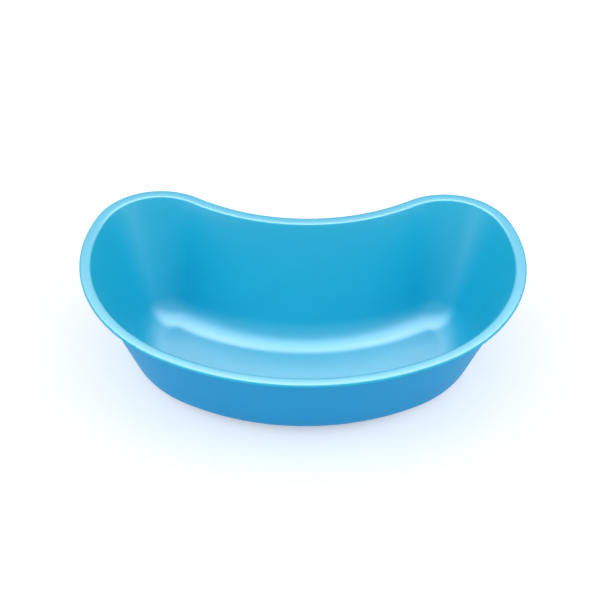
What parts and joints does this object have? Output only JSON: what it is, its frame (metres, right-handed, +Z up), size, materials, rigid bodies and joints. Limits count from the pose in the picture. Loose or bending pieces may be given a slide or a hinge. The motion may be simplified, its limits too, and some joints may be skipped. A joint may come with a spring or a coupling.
{
  "type": "kidney dish",
  "caption": "Kidney-shaped ward dish: flared bowl with a rounded foot, notched back and a flat out-turned lip all round; one thin plastic moulding.",
  "frame": {"origin": "on the underside, below the middle of the rim's length and depth", "axes": "+Z up out of the mouth, +X along the length, -Y towards the bulging front and +Y towards the notched back"},
  "size_m": [0.25, 0.164, 0.066],
  "materials": {
    "dish": "satin blue polypropylene, moulded"
  },
  "bodies": {
    "root": {"kidney_dish": "dish"}
  },
  "joints": []
}
